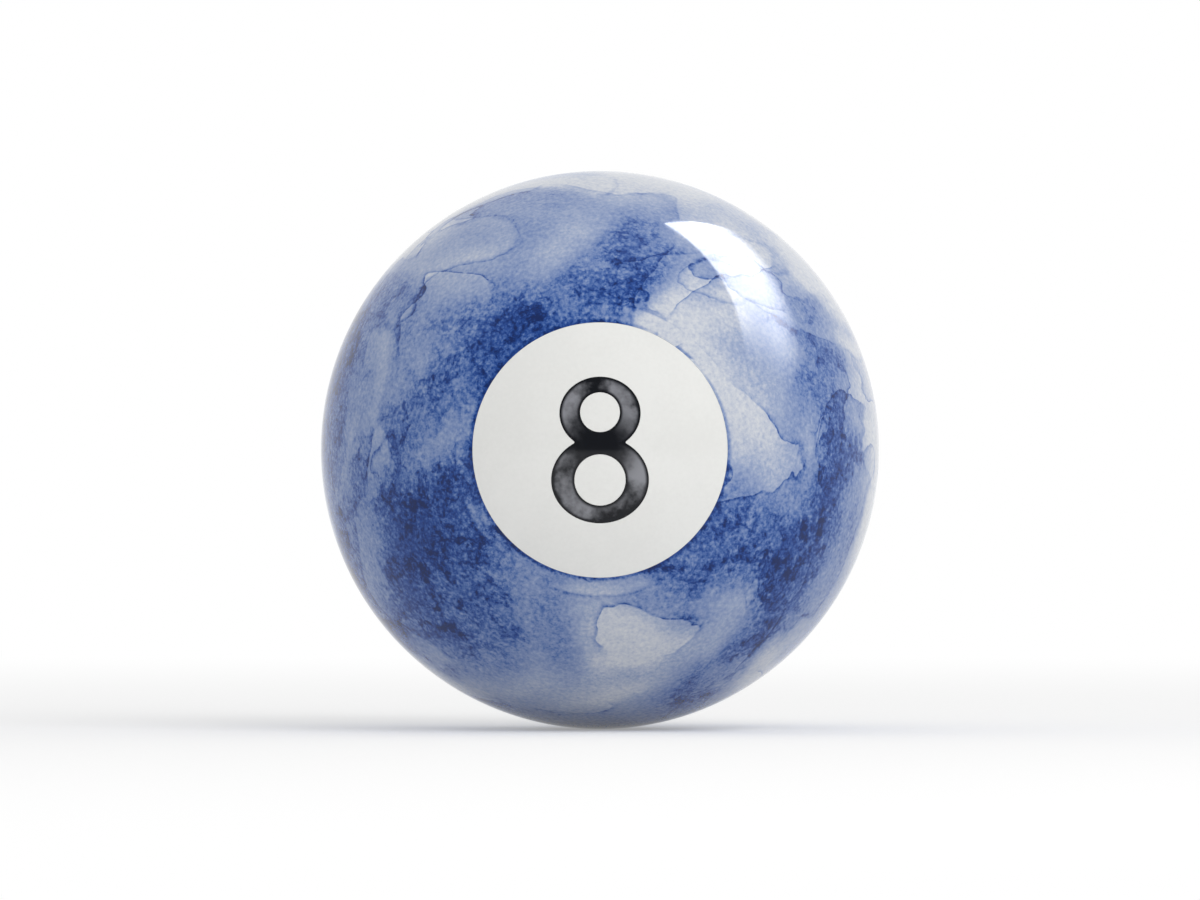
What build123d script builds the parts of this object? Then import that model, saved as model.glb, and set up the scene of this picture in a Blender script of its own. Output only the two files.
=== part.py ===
"""A numbered pool ball: a cast resin ball with a number plug let into each of two opposite sides.

Each plug is a slice of a cast number rod. A black figure 8 runs through its whole depth, so
polishing never wears the number away, and white resin fills the ring round the figure and its two
eyes. The plugs are bonded into blind pockets and turned down flush with the ball.

Frame: millimetres, origin at the ball's centre, +Z up. The numbers face -Y (front) and +Y (back).
"""

import os
from math import sqrt

from build123d import *

# ---- Driving dimensions -------------------------------------------------------------------------

ball_diameter = 57.15  # the 2 1/4 inch tournament size

disc_diameter = 25.6  # white number disc
disc_rim_depth = 3.2  # height of the plug's side wall
floor_corner_radius = 0.8  # between the plug's side wall and its flat floor

upper_eye_diameter = 4.00
lower_eye_diameter = 5.15
waist_stroke = 2.20  # black between the two eyes
upper_side_stroke = 2.05  # black beside the upper eye
lower_side_stroke = 2.30  # black beside the lower eye
upper_end_stroke = 1.55  # black over the upper eye
lower_end_stroke = 1.75  # black under the lower eye
waist_reach = 1.75  # how far each loop's oval runs on past its eye, towards the other loop
waist_corner_radius = 0.15  # rounding of the notches where the two loops meet

turning_allowance = 1.0  # how far a plug stands proud before the ball is turned round

# ---- Worked out from them -----------------------------------------------------------------------

ball_radius = ball_diameter / 2
disc_radius = disc_diameter / 2
upper_eye_radius = upper_eye_diameter / 2
lower_eye_radius = lower_eye_diameter / 2

# Distances from the ball's centre along the number axis.
rim_distance = sqrt(ball_radius**2 - disc_radius**2)  # where the disc's rim meets the sphere
floor_distance = rim_distance - disc_rim_depth  # the flat floor of the pocket
cast_height = ball_radius - floor_distance + turning_allowance

# Heights in the number's own upright, measured from the middle of the disc.
number_height = (
    upper_end_stroke + upper_eye_diameter + waist_stroke + lower_eye_diameter + lower_end_stroke
)
upper_eye_height = number_height / 2 - upper_end_stroke - upper_eye_radius
lower_eye_height = lower_end_stroke + lower_eye_radius - number_height / 2

# Each loop's oval runs from the figure's end, past its eye, and on into the waist.
upper_loop_half_height = upper_eye_radius + (upper_end_stroke + waist_reach) / 2
lower_loop_half_height = lower_eye_radius + (lower_end_stroke + waist_reach) / 2
upper_loop_height = number_height / 2 - upper_loop_half_height
lower_loop_height = lower_loop_half_height - number_height / 2

# The floor of each pocket, looking outwards. Half a turn about the X axis carries the front number
# onto the back one, so the back number is upside down, as tournament rules ask.
pocket_floors = {
    "front": Plane((0, -floor_distance, 0), x_dir=(1, 0, 0), z_dir=(0, -1, 0)),
    "back": Plane((0, floor_distance, 0), x_dir=(1, 0, 0), z_dir=(0, 1, 0)),
}

os.makedirs("parts", exist_ok=True)

# ---- The figure 8 and its eyes, drawn flat ------------------------------------------------------

with BuildSketch() as figure_outline:
    with Locations((0, upper_loop_height)):
        Ellipse(upper_eye_radius + upper_side_stroke, upper_loop_half_height)
    with Locations((0, lower_loop_height)):
        Ellipse(lower_eye_radius + lower_side_stroke, lower_loop_half_height)
    waist_notches = figure_outline.vertices().sort_by(lambda vertex: abs(vertex.X))[:2]
    fillet(waist_notches, radius=waist_corner_radius)

with BuildSketch() as upper_eye:
    with Locations((0, upper_eye_height)):
        Circle(upper_eye_radius)

with BuildSketch() as lower_eye:
    with Locations((0, lower_eye_height)):
        Circle(lower_eye_radius)

# ---- Ball body: one turned profile with a blind pocket at each end of the number axis -----------

with BuildPart() as ball_body:
    with BuildSketch(Plane.XY):
        with BuildLine():
            FilletPolyline(
                (disc_radius, -rim_distance),
                (disc_radius, -floor_distance),
                (0, -floor_distance),
                radius=floor_corner_radius,
            )
            Line((0, -floor_distance), (0, floor_distance))
            FilletPolyline(
                (0, floor_distance),
                (disc_radius, floor_distance),
                (disc_radius, rim_distance),
                radius=floor_corner_radius,
            )
            ThreePointArc(
                (disc_radius, rim_distance), (ball_radius, 0), (disc_radius, -rim_distance)
            )
        make_face()
    revolve(axis=Axis.Y)

ball_body.part.label = "ball_body"
export_step(ball_body.part, "parts/ball_body.step")

# ---- Number plugs: four bonded pieces in each pocket --------------------------------------------
# Each piece is cast up from the pocket floor, stands proud, and is turned down with the ball.

for side, pocket_floor in pocket_floors.items():
    outwards = Axis(pocket_floor.origin, pocket_floor.z_dir)

    # The white disc fills the pocket round the figure, so its floor corner is the pocket's own.
    with BuildPart() as number_disc:
        with BuildSketch(pocket_floor):
            Circle(disc_radius)
        extrude(amount=cast_height)
        floor_edge = number_disc.edges().filter_by(GeomType.CIRCLE).sort_by(outwards)[0]
        fillet(floor_edge, radius=floor_corner_radius)
        with BuildSketch(pocket_floor):
            add(figure_outline.sketch)
        extrude(amount=cast_height, mode=Mode.SUBTRACT)
        Sphere(ball_radius, mode=Mode.INTERSECT)
    number_disc.part.label = f"{side}_number_disc"
    export_step(number_disc.part, f"parts/{side}_number_disc.step")

    # The black figure, with a round hole for each eye.
    with BuildPart() as figure_eight:
        with BuildSketch(pocket_floor):
            add(figure_outline.sketch)
            add(upper_eye.sketch, mode=Mode.SUBTRACT)
            add(lower_eye.sketch, mode=Mode.SUBTRACT)
        extrude(amount=cast_height)
        Sphere(ball_radius, mode=Mode.INTERSECT)
    figure_eight.part.label = f"{side}_figure_eight"
    export_step(figure_eight.part, f"parts/{side}_figure_eight.step")

    # White cores that fill the two holes.
    for eye_name, eye_outline in {"upper_eye": upper_eye, "lower_eye": lower_eye}.items():
        with BuildPart() as eye:
            with BuildSketch(pocket_floor):
                add(eye_outline.sketch)
            extrude(amount=cast_height)
            Sphere(ball_radius, mode=Mode.INTERSECT)
        eye.part.label = f"{side}_{eye_name}"
        export_step(eye.part, f"parts/{side}_{eye_name}.step")
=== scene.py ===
"""A numbered pool ball in cast resin, marbled blue, with a white number plug on two opposite sides.

The boxes of the CAD nodes give its sizes, and the few that no box gives are named below. Each piece
is made again here as a closed surface, with the true roundness of a turned and polished ball and
with the hair-fine joint lines between its resins.
Metres, origin at the ball's centre, +Z up. The front number faces -Y and the back one +Y.
"""

from math import cos, pi, radians, sin

import bpy
import numpy as np
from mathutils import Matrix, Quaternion, Vector


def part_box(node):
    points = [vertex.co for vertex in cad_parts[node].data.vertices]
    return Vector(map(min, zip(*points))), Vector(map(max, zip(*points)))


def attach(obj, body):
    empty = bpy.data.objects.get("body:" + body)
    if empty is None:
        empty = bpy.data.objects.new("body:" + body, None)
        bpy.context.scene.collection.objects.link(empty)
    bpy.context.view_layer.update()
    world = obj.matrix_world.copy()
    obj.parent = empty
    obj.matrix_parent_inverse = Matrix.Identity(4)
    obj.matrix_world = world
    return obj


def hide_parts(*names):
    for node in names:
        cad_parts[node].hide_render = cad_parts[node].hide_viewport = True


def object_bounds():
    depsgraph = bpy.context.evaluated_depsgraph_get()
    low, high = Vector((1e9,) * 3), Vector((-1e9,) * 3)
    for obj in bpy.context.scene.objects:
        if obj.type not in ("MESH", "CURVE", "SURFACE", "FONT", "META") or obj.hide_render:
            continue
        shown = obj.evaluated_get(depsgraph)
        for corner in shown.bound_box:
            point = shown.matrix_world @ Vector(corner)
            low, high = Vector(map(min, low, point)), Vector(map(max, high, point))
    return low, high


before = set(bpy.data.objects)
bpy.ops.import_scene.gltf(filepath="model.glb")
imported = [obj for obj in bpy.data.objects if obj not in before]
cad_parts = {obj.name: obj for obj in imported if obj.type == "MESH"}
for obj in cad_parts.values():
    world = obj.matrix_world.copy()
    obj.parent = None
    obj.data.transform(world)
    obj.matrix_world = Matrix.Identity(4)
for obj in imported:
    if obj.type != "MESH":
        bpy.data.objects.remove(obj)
cad_low, cad_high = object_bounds()
mm = 0.001

# ---- Sizes read from the frame ----
disc_low, disc_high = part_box("front_number_disc")
figure_low, figure_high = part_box("front_figure_eight")
ball_radius = min(cad_high - cad_low) / 2
disc_radius = (disc_high.x - disc_low.x) / 2
floor_distance = -disc_high.y  # from the ball's centre to the flat floor of a pocket

# ---- Sizes of the number that no box gives ----
floor_corner_radius = 0.8 * mm  # where the plug's side wall meets its floor
upper_side_stroke = 2.05 * mm  # black at the sides of the upper eye
waist_reach = 1.75 * mm  # how far each loop's oval runs on past its eye, towards the other loop
notch_softness = 0.265 * mm  # how far the figure's two loops melt together at the waist

# ---- Sizes of the finish ----
glue_gap = 0.008 * mm  # how far each side wall of a plug's pieces stands back from its joint
edge_rounding = 0.035 * mm  # polishing rounds each resin a little at a joint
weld_distance = 1e-6 * mm  # points that agree to this are one point

# ---- Rows and columns of the surfaces ----
ball_columns, ball_rows = 320, 250
pocket_wall_rows, pocket_floor_rows = 8, 10
number_columns, waist_columns = 480, 40
disc_rows, figure_rows = 70, 40
plug_wall_rows, plug_floor_rows = 6, 8
eye_columns, eye_rows, eye_floor_rows = 128, 30, 6
corner_rows, rounding_rows = 8, 5
outline_halvings = 40


# ---- The number's plan ----
class Eye:
    """A round white core of the figure: its centre's height and its radius, in the number's plane."""

    def __init__(self, node):
        low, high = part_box(node)
        self.height = (high.z + low.z) / 2
        self.radius = (high.x - low.x) / 2


class Loop:
    """One oval loop of the figure, round its eye, from the figure's end to somewhere in the waist."""

    def __init__(self, eye, half_width, end, waist_end):
        self.eye = eye
        self.half_width = half_width
        self.height = (end + waist_end) / 2
        self.half_height = abs(end - waist_end) / 2

    def level(self, x, z):
        """How far a point is outside the oval: its scaled radius less 1, times the half height."""
        scaled_radius = np.hypot(x / self.half_width, (z - self.height) / self.half_height)
        return (scaled_radius - 1) * self.half_height


upper_eye = Eye("front_upper_eye")
lower_eye = Eye("front_lower_eye")
upper_half_width = upper_eye.radius + upper_side_stroke
upper_eye_foot = upper_eye.height - upper_eye.radius
lower_eye_top = lower_eye.height + lower_eye.radius
upper_loop = Loop(upper_eye, upper_half_width, figure_high.z, upper_eye_foot - waist_reach)
lower_loop = Loop(lower_eye, figure_high.x, figure_low.z, lower_eye_top + waist_reach)
waist_height = (upper_eye_foot + lower_eye_top) / 2


# ---- Tools for surfaces. A curve holds (x, z) in the number's plane; out is measured along its axis ----
def turns(count):
    """Even angles once round."""
    return np.arange(count) * 2 * pi / count


def crowded(count):
    """Shares from 0 to 1 that crowd towards both ends: half of 1 less the cosine of an even angle."""
    return (1 - np.cos(np.linspace(0, pi, count))) / 2


def ring(height, radius, angle):
    """Points on circles about (0, height): the radius times the cosine and sine of each angle."""
    x, z = np.broadcast_arrays(radius * np.cos(angle), height + radius * np.sin(angle))
    return np.stack([x, z], axis=-1)


def moved_in(curve, distances):
    """Copies of a closed curve, each moved along the inward normals, a quarter turn from the tangents."""
    tangent = np.roll(curve, -1, axis=0) - np.roll(curve, 1, axis=0)
    tangent /= np.linalg.norm(tangent, axis=1, keepdims=True)
    normal = np.stack([-tangent[:, 1], tangent[:, 0]], axis=1)
    return curve + np.reshape(distances, (-1, 1, 1)) * normal


def between(first, last, shares):
    """Curves from the first towards the last, by each share of the way."""
    return first + shares[:, None, None] * (last - first)


def skin(curves):
    """Where the ball's surface lies along the axis: the root of R squared less x squared and z squared."""
    return np.sqrt(ball_radius**2 - (curves**2).sum(axis=-1))


def placed(curves, out):
    """A grid of (x, z, out) from curves and their distances out."""
    shape = np.broadcast_shapes(curves.shape[:-1], np.shape(out))
    curves = np.broadcast_to(curves, (*shape, 2))
    return np.concatenate([curves, np.broadcast_to(out, shape)[..., None]], axis=-1)


rounding_angle = np.linspace(0, pi / 2, rounding_rows)
rounding_inset = edge_rounding * (1 - np.cos(rounding_angle))  # sideways from the wall
rounding_depth = edge_rounding * (1 - np.sin(rounding_angle))[:, None]  # below the ball's skin


def wall(curve, foot=floor_distance):
    """Rows up a straight wall, from its foot to where the polished edge begins."""
    share = np.linspace(0, 1, plug_wall_rows)[:, None]
    return placed(curve, foot + share * (skin(curve) - edge_rounding - foot))


def edge(curves):
    """Rows over a polished edge, a quarter circle from the wall to the ball's skin."""
    return placed(curves, skin(curves) - rounding_depth)


def top(curves):
    """Rows on the ball's skin."""
    return placed(curves, skin(curves))


def cells(rows, columns, rows_meet):
    """The four corners of each cell of a grid whose columns go right round, and perhaps its rows too."""
    row, column = np.meshgrid(np.arange(rows if rows_meet else rows - 1), np.arange(columns), indexing="ij")
    beside = (column + 1) % columns
    this_row, next_row = row * columns, (row + 1) % rows * columns
    return np.stack([this_row + column, this_row + beside, next_row + beside, next_row + column], axis=-1)


def surface(bands, rows_meet=False):
    """Points and cells of a grid made of bands of rows, one after another."""
    grid = np.concatenate(bands)
    return grid.reshape(-1, 3), cells(*grid.shape[:2], rows_meet).reshape(-1, 4)


# ---- The pieces' surfaces ----
def ball_body():
    """The cast ball: a profile in the half plane beside the number axis, turned about that axis.

    From the middle of the front pocket's floor it runs out to the rounded corner, up the wall,
    over the polished edge, along the ball's great circle, and down the back pocket the same way.
    """
    corner_angle = np.linspace(0, pi / 2, corner_rows)
    corner_beside = disc_radius - floor_corner_radius * (1 - np.sin(corner_angle))
    corner_out = floor_distance + floor_corner_radius * (1 - np.cos(corner_angle))
    edge_beside = disc_radius + rounding_inset
    edge_out = np.sqrt(ball_radius**2 - edge_beside**2) - rounding_depth[:, 0]
    wall_out = np.linspace(corner_out[-1], edge_out[0], pocket_wall_rows)[1:-1]
    floor_beside = np.linspace(0, corner_beside[0], pocket_floor_rows)[:-1]
    beside = np.concatenate([floor_beside, corner_beside, np.full_like(wall_out, disc_radius), edge_beside])
    out = np.concatenate([np.full_like(floor_beside, floor_distance), corner_out, wall_out, edge_out])
    first_angle = np.arctan2(edge_beside[-1], edge_out[-1])
    angle = (first_angle + (pi - 2 * first_angle) * crowded(ball_rows))[1:-1]
    profile_beside = np.concatenate([beside, ball_radius * np.sin(angle), beside[::-1]])
    profile_out = np.concatenate([out, ball_radius * np.cos(angle), -out[::-1]])
    return surface([placed(ring(0, profile_beside[:, None], turns(ball_columns)), profile_out[:, None])])


def figure_outline():
    """Where rays from the waist leave the figure, anticlockwise from the right-hand notch.

    The figure is where a soft minimum of its two ovals' levels is below 0, which rounds the
    notches between the loops. Each ray is halved again and again between inside and outside.
    """
    angle = turns(number_columns)
    inside, outside = np.zeros_like(angle), np.full_like(angle, figure_high.z - figure_low.z)
    for _ in range(outline_halvings):
        middle = (inside + outside) / 2
        x, z = np.moveaxis(ring(waist_height, middle, angle), -1, 0)
        upper, lower = upper_loop.level(x, z), lower_loop.level(x, z)
        share = np.clip(0.5 + (upper - lower) / (2 * notch_softness), 0, 1)
        level = upper + share * (lower - upper) - notch_softness * share * (1 - share)
        inside, outside = np.where(level < 0, middle, inside), np.where(level < 0, outside, middle)
    return ring(waist_height, inside, angle)


def number_disc(outline):
    """The white disc: a closed profile carried once round the number.

    It goes up the figure's wall, over that edge, along the ball's skin to the rim, over the rim's
    edge, down the side, round the floor's corner and back along the floor.
    """
    figure_wall = moved_in(outline, -glue_gap)[0]
    rim_radius = disc_radius - glue_gap
    angle = turns(number_columns)
    reach = np.sqrt(rim_radius**2 - (waist_height * np.cos(angle)) ** 2) - waist_height * np.sin(angle)
    rim = ring(waist_height, reach, angle)
    figure_edge = edge(moved_in(figure_wall, -rounding_inset))
    rim_edge = edge(rim * (1 - rounding_inset / rim_radius)[:, None, None])
    corner_angle = np.linspace(0, pi / 2, corner_rows)[:, None]
    corner = rim * (1 - floor_corner_radius * (1 - np.cos(corner_angle)) / rim_radius)[..., None]
    corner_out = floor_distance + floor_corner_radius * (1 - np.sin(corner_angle))
    floor_shares = np.linspace(0, 1, plug_floor_rows)[1:-1]
    return surface([
        wall(figure_wall)[:-1],
        figure_edge,
        top(between(figure_edge[-1, :, :2], rim_edge[-1, :, :2], crowded(disc_rows))[1:-1]),
        rim_edge[::-1],
        wall(rim, floor_distance + floor_corner_radius)[-2:0:-1],
        placed(corner, corner_out),
        placed(between(corner[-1], figure_wall, floor_shares), floor_distance),
    ], rows_meet=True)


def figure_eight(outline):
    """The black figure: a closed profile carried round each eye, and the two halves welded at the waist.

    A half goes up the eye's wall, over that edge, along the skin to the outline, over its edge,
    down its wall and back along the floor. Its columns are the outline's own points and then
    points across the waist, where it has no wall because the other half carries on.
    """
    outer_wall = moved_in(outline, glue_gap)[0]
    outer_edge = edge(moved_in(outer_wall, rounding_inset))
    outer_rows = np.concatenate([outer_edge[::-1], wall(outer_wall)[-2::-1]])
    half = number_columns // 2
    across = np.linspace(-1, 1, waist_columns + 2)[1:-1, None] * outer_edge[-1, 0, :2] * (1, 0)
    across += (0, waist_height)
    share_up = np.linspace(1, 0, len(outer_rows))[:, None]
    across_rows = placed(across, floor_distance + share_up * (skin(across) - floor_distance))
    floor_shares = np.linspace(0, 1, plug_floor_rows)[1:-1]
    points, faces = [], []
    for eye, first, way in ((upper_eye, 0, 1), (lower_eye, half, -1)):
        own_rows = np.take(outer_rows, np.arange(first, first + half + 1), axis=1, mode="wrap")
        rows = np.concatenate([own_rows, across_rows[:, ::way]], axis=1)
        boundary = rows[0, :, :2]
        angle = np.arctan2(boundary[:, 1] - eye.height, boundary[:, 0])
        hole_radius = eye.radius + glue_gap
        hole = ring(eye.height, hole_radius, angle)
        hole_edge = edge(ring(eye.height, hole_radius + rounding_inset[:, None], angle))
        inner = np.concatenate([
            wall(hole)[:-1],
            hole_edge,
            top(between(hole_edge[-1, :, :2], boundary, crowded(figure_rows))[1:-1]),
        ])
        floor = placed(between(rows[-1, :, :2], hole, floor_shares), floor_distance)
        grid = np.concatenate([inner, rows, floor])
        grid_cells = cells(*grid.shape[:2], rows_meet=True)
        kept = np.ones(grid_cells.shape[:2], bool)
        kept[len(inner):len(inner) + len(rows) - 1, half:] = False
        faces.append(grid_cells[kept] + sum(map(len, points)))
        points.append(grid.reshape(-1, 3))
    return np.concatenate(points), np.concatenate(faces)


def white_core(eye):
    """The white core in one eye: a profile turned about the eye's own middle.

    It runs from the floor's middle out to the wall, up it, over the edge and to the top's middle.
    """
    angle = turns(eye_columns)
    radius = eye.radius - glue_gap
    side = ring(eye.height, radius, angle)
    middle = ring(eye.height, 0, angle)
    side_edge = edge(ring(eye.height, (radius - rounding_inset)[:, None], angle))
    return surface([
        placed(between(middle, side, np.linspace(0, 1, eye_floor_rows))[:-1], floor_distance),
        wall(side)[:-1],
        side_edge,
        top(between(side_edge[-1, :, :2], middle, crowded(eye_rows))[1:]),
    ])


def add_piece(node, made, back, material):
    """The polished piece that stands for a node: a closed mesh from points (x, z, out).

    At the back of the ball the number is turned half round the X axis. Equal points are welded,
    and a cell that has collapsed at a pole becomes a triangle. The sign of the enclosed volume,
    the sum over its triangles of corner dot (corner cross corner), says whether the faces have to
    be turned over to point out.
    """
    points, faces = made
    points = np.stack([points[:, 0], -points[:, 2], points[:, 1]], axis=1) * ((1, -1, -1) if back else 1)
    keys = np.round(points / weld_distance).astype(np.int64)
    _, first, welded = np.unique(keys, axis=0, return_index=True, return_inverse=True)
    used, faces = np.unique(welded.reshape(-1)[faces], return_inverse=True)
    points, faces = points[first[used]], faces.reshape(-1, 4)
    a, b, c, d = points[faces].transpose(1, 0, 2)
    if (a * (np.cross(b, c) + np.cross(c, d))).sum() < 0:
        faces = faces[:, ::-1]
    repeated = faces == np.roll(faces, -1, axis=1)
    polygons = faces[~repeated.any(axis=1)].tolist()
    for corner in range(4):
        polygons += np.delete(faces[repeated[:, corner]], corner, axis=1).tolist()
    name = f"polished_{node}"
    mesh = bpy.data.meshes.new(name)
    mesh.from_pydata(points.tolist(), [], polygons)
    mesh.shade_smooth()
    mesh.materials.append(material)
    piece = bpy.data.objects.new(name, mesh)
    bpy.context.scene.collection.objects.link(piece)
    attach(piece, "root")
    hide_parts(node)


# ---- Tools for materials ----
class Field:
    """One output of a shader node. Arithmetic on fields adds Math nodes to the same material."""

    def __init__(self, socket):
        self.socket = socket

    def node(self, kind, settings, inputs, output=0):
        """Any node: its settings are set first, a ramp's stops among them, and then its sockets."""
        tree = self.socket.id_data
        made = tree.nodes.new(kind)
        for name, value in settings.items():
            if name == "stops":
                elements = made.color_ramp.elements
                for _ in value[len(elements):]:
                    elements.new(1)
                for element, (position, colour) in zip(elements, value):
                    element.position = position
                    element.color = (*colour, 1)
            else:
                setattr(made, name, value)
        for name, value in inputs.items():
            if isinstance(value, Field):
                tree.links.new(value.socket, made.inputs[name])
            else:
                made.inputs[name].default_value = value
        return Field(made.outputs[output]) if made.outputs else None

    def maths(self, operation, *values):
        """A Math node on the values given, which don't include this field by themselves."""
        return self.node("ShaderNodeMath", {"operation": operation}, dict(enumerate(values)))

    def __add__(self, other):
        return self.maths("ADD", self, other)

    def __sub__(self, other):
        return self.maths("SUBTRACT", self, other)

    def __rsub__(self, other):
        return self.maths("SUBTRACT", other, self)

    def __mul__(self, other):
        return self.maths("MULTIPLY", self, other)

    __radd__ = __add__
    __rmul__ = __mul__


def vector(operation, first, second=(0, 0, 0), third=(0, 0, 0), output=0):
    """A Vector Math node. Its output 1 is a number, such as a length or a dot product."""
    values = {0: first, 1: second, 2: third}
    return first.node("ShaderNodeVectorMath", {"operation": operation}, values, output)


def noise(place, scale, detail=2, roughness=0.5, output=0):
    """Cloudy noise about 0.5, with features about 1/scale across. Its output 1 is a vector."""
    sizes = {"Vector": place, "Scale": scale, "Detail": detail, "Roughness": roughness}
    return place.node("ShaderNodeTexNoise", {}, sizes, output)


def adrift(place, scale, detail, reach):
    """The place moved by a vector noise times a reach, which bends whatever is laid out on it."""
    return vector("MULTIPLY_ADD", noise(place, scale, detail, output=1), (reach,) * 3, place)


def smooth(field, low, high):
    """0 below low, 1 above high, and a smooth step between them."""
    ends = {"Value": field, "From Min": low, "From Max": high}
    return field.node("ShaderNodeMapRange", {"interpolation_type": "SMOOTHSTEP"}, ends)


def patches(place, scale, low, high):
    """1 in cloudy patches about 1/scale across and 0 between them, with smooth borders."""
    return smooth(noise(place, scale), low, high)


def line(field, width):
    """1 where the field is 0, falling off on both sides as the bell curve of that width."""
    return field.maths("EXPONENT", field * field * (-1 / width**2))


def least(first, second):
    """The smaller of two fields."""
    return first.maths("MINIMUM", first, second)


def blend(share, first, second):
    """The first colour where the share is 0, and the second where it is 1."""
    colours = {6: (*first, 1), 7: (*second, 1)}
    return share.node("ShaderNodeMix", {"data_type": "RGBA"}, {0: share, **colours}, 2)


def new_material(name):
    """An empty material, and the position in its objects' space, in ball radii."""
    material = bpy.data.materials.new(name)
    material.use_nodes = True
    material.node_tree.nodes.clear()
    position = Field(material.node_tree.nodes.new("ShaderNodeTexCoord").outputs["Object"])
    return material, vector("MULTIPLY", position, (1 / ball_radius,) * 3)


# ---- The polish ----
least_roughness, haze_roughness, hairline_roughness = 0.05, 0.04, 0.05
hairline_stretch = (90, 14, 40)  # squeezes round clouds into thin lines


def polish(place, colour):
    """Polished phenolic resin of that colour, with the faint haze and hairlines of a ball in use."""
    haze = noise(place, 2.3, 3)
    hairlines = smooth(noise(vector("MULTIPLY", place, hairline_stretch), 1), 0.66, 0.74)
    roughness = least_roughness + haze * haze_roughness + hairlines * hairline_roughness
    finish = {"Base Color": colour, "Roughness": roughness, "IOR": 1.5, "Specular IOR Level": 0.30}
    resin = place.node("ShaderNodeBsdfPrincipled", {}, finish)
    place.node("ShaderNodeOutputMaterial", {}, {"Surface": resin})


# ---- The blue resin. Its pigment runs from depth 0, the palest, to 1. Lengths are in ball radii ----
blues = [  # the colour at each depth
    (0.00, (0.70, 0.71, 0.725)),
    (0.15, (0.555, 0.587, 0.655)),
    (0.32, (0.33, 0.395, 0.56)),
    (0.50, (0.18, 0.257, 0.475)),
    (0.64, (0.070, 0.146, 0.390)),
    (0.77, (0.013, 0.062, 0.280)),
    (0.90, (0.001, 0.027, 0.168)),
    (1.00, (0.000, 0.015, 0.102)),
]
cast_place = (8.0, 3.25, 14.75)  # the stretch of the endless clouds that this ball is cast from
flow_scale, flow_reach = 1.1, 0.9  # the currents that bend the clouds
middling_depth = 0.395  # the clouds' own
cloud_scale, cloud_contrast = 1.3, 2.3
mottle_scale, mottle_contrast = 6, 0.22
painted_shade_way, painted_shade_contrast = (-0.6, 0, -0.5), 0.16  # painted shade: the blue is made darker towards the lower left
washes = [  # each wash's own stretch of the clouds, the cloud level it begins at, and its added depth
    ((3, 1, 7), 0.46, 0.09),
    ((8, 5, 2), 0.52, 0.10),
    ((1, 9, 4), 0.57, -0.14),
]
soft_border, crisp_border = 0.03, 0.002  # half the width of a wash's border, in cloud levels
drying_width, drying_depth = 0.006, 0.4  # the line inside a crisp border; its width is in cloud levels
least_halo, halo_waver = 0.03, 0.06  # the pale halo's reach past a plug's rim, and what noise adds to it
halo_depth = 0.14  # how much paler the halo is, and how much deeper the line at its border
halo_border, halo_line_width = 0.004, 0.006
rim_line_offset, rim_line_width, rim_line_depth = 0.004, 0.008, 0.3
palest_depth, palest_bend = 0.14, 0.1  # the depth's lower end before the grain, and its smoothness
deepest_depth, deepest_bend = 0.86, 0.25  # its upper end
grain_scale, grain_contrast, deep_grain_contrast = 72, 0.44, 0.40
speckle_scale, least_speckle, speckle_waver = 30, 0.25, 0.65
clot_scale, clot_depth = 13, 0.32
clot_balance = 0.16  # taken off wherever the blue is deep, to make up for what the clots add
settling_scale, settling_reach = 9, 0.12  # the small currents that bend the clots


def clouded(place, flow):
    """The depth of the broad clouds, with a fine mottle and painted shade that darkens the lower left."""
    cloud = noise(flow, cloud_scale) - 0.5
    mottle = noise(place, mottle_scale, 5, 0.62) - 0.5
    # painted shade: more depth, so darker blue, towards the lower left
    painted_shade = vector("DOT_PRODUCT", place, painted_shade_way, output=1)
    return middling_depth + cloud * cloud_contrast + mottle * mottle_contrast + painted_shade * painted_shade_contrast


def washed(depth, place, flow):
    """Depth with the washes laid over it. In patches their borders are crisp, with a drying line."""
    crisp = patches(place, 3.1, 0.40, 0.58)
    softness = soft_border - crisp * (soft_border - crisp_border)
    for wash_place, first_level, wash_depth in washes:
        over = noise(vector("ADD", flow, wash_place), cloud_scale, 5, 0.4) - first_level
        inside = smooth(over, softness * -1, softness)
        drying = inside * over.maths("EXPONENT", over * (-1 / drying_width)) * crisp
        depth = depth + inside * wash_depth + drying * drying_depth
    return depth


def ringed(depth, place):
    """Depth with a dark line along each plug's rim, and in places a pale halo with a dark border."""
    off_axis = vector("LENGTH", vector("MULTIPLY", place, (1, 0, 1)), output=1)
    off_rim = off_axis - disc_radius / ball_radius
    off_halo = off_rim - least_halo - noise(place, 3, 3) * halo_waver
    halo = smooth(off_halo, halo_border, -halo_border) - line(off_halo, halo_line_width)
    in_places = patches(place, 1.9, 0.44, 0.58)
    rim_line = line(off_rim - rim_line_offset, rim_line_width)
    return depth - halo * halo_depth * in_places + rim_line * rim_line_depth


def held(depth):
    """Depth held between the palest and the deepest, with a smooth bend at each."""
    depth = depth.maths("SMOOTH_MIN", depth, deepest_depth, deepest_bend)
    return depth.maths("SMOOTH_MAX", depth, palest_depth, palest_bend)


def grained(depth, place):
    """Depth with fine grain all over, and with speckle and clots of pigment where it is deep."""
    deep = smooth(depth, 0.35, 0.75)
    grain = (noise(place, grain_scale, 3, 0.6) - 0.5) * (grain_contrast + deep * deep_grain_contrast)
    speckled = least_speckle + patches(place, 2.6, 0.4, 0.6) * speckle_waver
    speckle = (noise(place, speckle_scale, 4, 0.7) - 0.5) * speckled
    settled = adrift(place, settling_scale, 2, settling_reach)
    clots = smooth(noise(settled, clot_scale, 6, 0.75), 0.48, 0.66) - clot_balance
    return depth + grain + (speckle + clots * clot_depth) * deep


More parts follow.
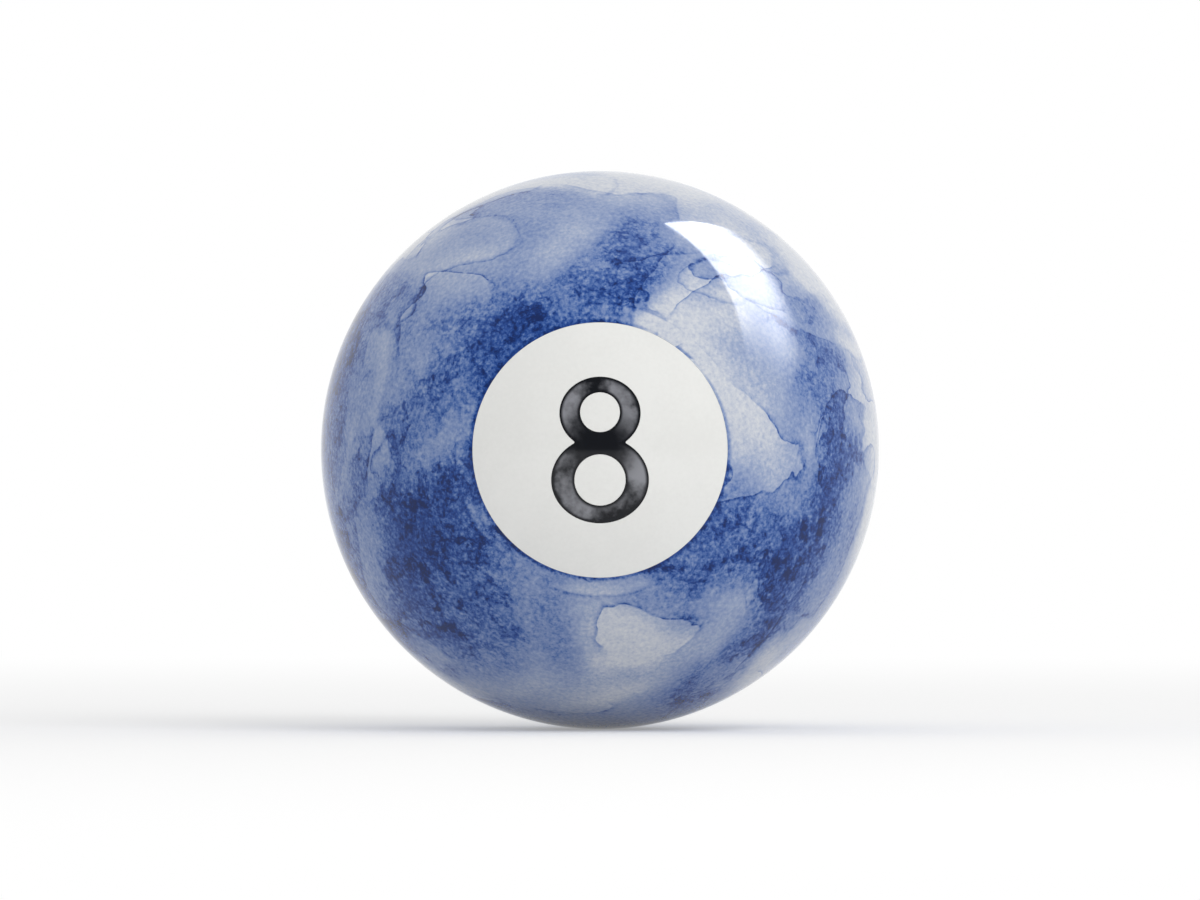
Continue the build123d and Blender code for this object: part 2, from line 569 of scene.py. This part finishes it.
def blue_resin():
    """Blue resin poured in cloudy washes, ringed round each plug, and grainy where it is deep."""
    material, place = new_material("blue_resin")
    flow = vector("ADD", adrift(place, flow_scale, 0, flow_reach), cast_place)
    depth = washed(clouded(place, flow), place, flow)
    depth = grained(held(ringed(depth, place)), place)
    polish(place, depth.node("ShaderNodeValToRGB", {"stops": blues}, {0: depth}))
    return material


# ---- The white and the black resin. Lengths are in ball radii ----
whites = (0.785, 0.787, 0.765), (0.815, 0.817, 0.795)  # between the clouds and in them
deep_black, smoke_grey = (0.002, 0.003, 0.006), (0.255, 0.260, 0.285)
smoke_off_edge = 0.003, 0.014  # how far off an edge the smoke starts, and is whole
smoke_off_waist = 0.05, 0.18  # the same off the middle of the waist


def white_resin():
    """Warm white resin with the faintest clouding and grain."""
    material, place = new_material("white_resin")
    cloud = noise(place, 4, 4) * 0.6 + noise(place, 70) * 0.4
    polish(place, blend(smooth(cloud, 0.35, 0.65), *whites))
    return material


def black_resin():
    """Smoky black resin: deepest at the waist and in a thin line along its edges, clouded grey between.

    The place in the number's own upright is (x, z) at the front, and (x, -z) at the back.
    """
    material, place = new_material("black_resin")
    side = vector("DOT_PRODUCT", vector("SIGN", place), (0, -1, 0), output=1)
    upright = place.node("ShaderNodeCombineXYZ", {}, {"X": 1, "Z": side})
    flat = vector("MULTIPLY", place, upright)
    levels, off_eyes = [], []
    for loop in (upper_loop, lower_loop):
        from_loop = vector("SUBTRACT", flat, (0, 0, loop.height / ball_radius))
        scale = (ball_radius / loop.half_width, 0, ball_radius / loop.half_height)
        scaled_radius = vector("LENGTH", vector("MULTIPLY", from_loop, scale), output=1)
        levels.append((scaled_radius - 1) * (loop.half_height / ball_radius))
        from_eye = vector("SUBTRACT", flat, (0, 0, loop.eye.height / ball_radius))
        off_eyes.append(vector("LENGTH", from_eye, output=1) - loop.eye.radius / ball_radius)
    to_edge = least(least(*off_eyes), least(*levels) * -1)
    from_waist = vector("LENGTH", vector("SUBTRACT", flat, (0, 0, waist_height / ball_radius)), output=1)
    cloud = noise(place, 4.5, 3) + (noise(place, 60) - 0.5) * 0.12
    smoke = smooth(cloud, 0.40, 0.60) * smooth(to_edge, *smoke_off_edge)
    polish(place, blend(smoke * smooth(from_waist, *smoke_off_waist), deep_black, smoke_grey))
    return material


# ---- The ball ----
outline = figure_outline()
blue, white, black = blue_resin(), white_resin(), black_resin()
add_piece("ball_body", ball_body(), False, blue)
for side in ("front", "back"):
    at_back = side == "back"
    add_piece(f"{side}_number_disc", number_disc(outline), at_back, white)
    add_piece(f"{side}_figure_eight", figure_eight(outline), at_back, black)
    add_piece(f"{side}_upper_eye", white_core(upper_eye), at_back, white)
    add_piece(f"{side}_lower_eye", white_core(lower_eye), at_back, white)


# ---- The studio ----
ball_centre = (cad_low + cad_high) / 2
full_white = (1, 1, 1)

ambient_level = 0.72  # how bright the studio is as it lights the ball, where 1 is white
dim_share = 0.65  # how much less of the studio's front wall the polish shows
dim_start, dim_end = -0.2, 0.9  # the cosine of the angle off the front, where dimming starts and is whole

floor_radii = np.array([0.02, 0.05, 0.1, 0.2, 0.5, 1, 2, 6])  # its rings, out to its edge
floor_columns = 256
floor_white = (0.86, 0.86, 0.86)  # as it bounces light onto the ball
floor_glow = 0.3  # the share of plain white glow in the floor near the ball
fade_start, fade_end = 0.03, 0.45  # how far from the ball's centre the floor fades to all glow

key_level = 0.36  # how bright a small lamp of the key's power makes a white surface facing it
key_polar, key_azimuth = radians(48), radians(50)
key_distance, key_side = 0.9, 0.6

panel_level = 15  # how bright the panel is where it is brightest
panel_polar, panel_azimuth, panel_roll = radians(102), radians(42), radians(34)
panel_distance, panel_width, panel_height = 0.6, 0.7, 0.3
panel_fade = 0.5  # the share of its width and height over which the panel brightens

camera_distance = 1.2
ball_share_of_frame = 0.62  # the ball's height in the frame
frame_shape = 3 / 4  # the frame's height over its width
sensor_width = 36.0


def seen_directly(path):
    """1 on rays that show a surface as it is: from the camera, from a gloss or through glass."""
    rays = ("Is Camera Ray", "Is Glossy Ray", "Is Transmission Ray")
    from_camera, from_gloss, through_glass = (Field(path.outputs[ray]) for ray in rays)
    seen = from_gloss.maths("MAXIMUM", from_camera, from_gloss)
    return seen.maths("MAXIMUM", seen, through_glass)


def white_world():
    """White where it is seen, and at the ambient level where it lights the ball. The polish finds its
    front wall dim, as a studio is in front of its subject."""
    world = bpy.data.worlds.new("studio")
    bpy.context.scene.world = world
    world.use_nodes = True
    tree = world.node_tree
    tree.nodes.clear()
    path = tree.nodes.new("ShaderNodeLightPath")
    seen = seen_directly(path)
    direction = Field(tree.nodes.new("ShaderNodeNewGeometry").outputs["Position"])
    frontal = smooth(vector("DOT_PRODUCT", direction, (0, -1, 0), output=1), dim_start, dim_end)
    dimmed = Field(path.outputs["Is Glossy Ray"]) * frontal * dim_share
    strength = ambient_level + seen * (1 - ambient_level) - dimmed
    backdrop = seen.node("ShaderNodeBackground", {}, {"Color": (*full_white, 1), "Strength": strength})
    seen.node("ShaderNodeOutputWorld", {}, {"Surface": backdrop})


def pale_floor():
    """A flat round floor under the ball. Away from the ball it fades into the white backdrop."""
    x, y = np.moveaxis(ring(0, floor_radii[:, None], turns(floor_columns)), -1, 0)
    points = np.stack([x, y, np.full_like(x, cad_low.z)], axis=-1).reshape(-1, 3)
    bands = cells(len(floor_radii), floor_columns, False).reshape(-1, 4)[:, ::-1]
    middle = list(range(floor_columns))
    mesh = bpy.data.meshes.new("floor")
    mesh.from_pydata(points.tolist(), [], bands.tolist() + [middle])
    floor = bpy.data.objects.new("floor", mesh)
    bpy.context.scene.collection.objects.link(floor)
    material, place = new_material("floor")
    mesh.materials.append(material)
    seen = seen_directly(material.node_tree.nodes.new("ShaderNodeLightPath"))
    away = vector("LENGTH", place, output=1) * ball_radius
    share = (floor_glow + smooth(away, fade_start, fade_end) * (1 - floor_glow)) * seen
    matte = place.node("ShaderNodeBsdfDiffuse", {}, {"Color": blend(seen, floor_white, full_white)})
    glow = place.node("ShaderNodeEmission", {}, {"Color": (*full_white, 1), "Strength": 1})
    both = place.node("ShaderNodeMixShader", {}, {0: share, 1: matte, 2: glow})
    place.node("ShaderNodeOutputMaterial", {}, {"Surface": both})


def add_softbox(name, polar, azimuth, distance, width, height, roll=0):
    """A rectangular lamp aimed at the ball. Polar is its angle from the camera's side, azimuth its
    angle anticlockwise from the right as the camera sees it, and roll its turn about its own axis."""
    lamp = bpy.data.lights.new(name, "AREA")
    lamp.shape = "RECTANGLE"
    lamp.size, lamp.size_y = width, height
    softbox = bpy.data.objects.new(name, lamp)
    bpy.context.scene.collection.objects.link(softbox)
    away = Vector((sin(polar) * cos(azimuth), -cos(polar), sin(polar) * sin(azimuth)))
    softbox.location = ball_centre + distance * away
    softbox.rotation_euler = (away.to_track_quat("Z", "Y") @ Quaternion((0, 0, 1), roll)).to_euler()
    softbox.visible_camera = False
    return softbox


def soft_key():
    """A broad soft key for the colours. The polish doesn't reflect it."""
    key = add_softbox("key", key_polar, key_azimuth, key_distance, key_side, key_side)
    key.data.energy = key_level * pi**2 * key_distance**2
    key.visible_glossy = False


def window_panel():
    """A window-like panel that only the polish reflects, dark along two of its sides."""
    panel = add_softbox(
        "panel", panel_polar, panel_azimuth, panel_distance, panel_width, panel_height, panel_roll
    )
    panel.data.energy = panel_level * pi * panel_width * panel_height
    panel.visible_diffuse = False
    panel.data.use_nodes = True
    tree = panel.data.node_tree
    tree.nodes.clear()
    spot = Field(tree.nodes.new("ShaderNodeNewGeometry").outputs["Parametric"])
    x, y = (spot.node("ShaderNodeSeparateXYZ", {}, {0: spot}, output) for output in (0, 1))
    strength = smooth(x, 0, panel_fade) * smooth(y, 0, panel_fade)
    glow = spot.node("ShaderNodeEmission", {}, {"Strength": strength})
    spot.node("ShaderNodeOutputLight", {}, {"Surface": glow})


def long_lens_camera():
    """Level with the ball's centre and square to the front number, through a long lens."""
    data = bpy.data.cameras.new("camera")
    data.sensor_width = sensor_width
    half_height = ball_radius / ball_share_of_frame
    data.lens = sensor_width / 2 * frame_shape * camera_distance / half_height
    data.clip_start, data.clip_end = 0.05, 20
    camera = bpy.data.objects.new("camera", data)
    bpy.context.scene.collection.objects.link(camera)
    camera.location = ball_centre - Vector((0, camera_distance, 0))
    camera.rotation_euler = (pi / 2, 0, 0)
    bpy.context.scene.camera = camera


white_world()
pale_floor()
soft_key()
window_panel()
long_lens_camera()
bpy.context.scene.view_settings.view_transform = "Standard"
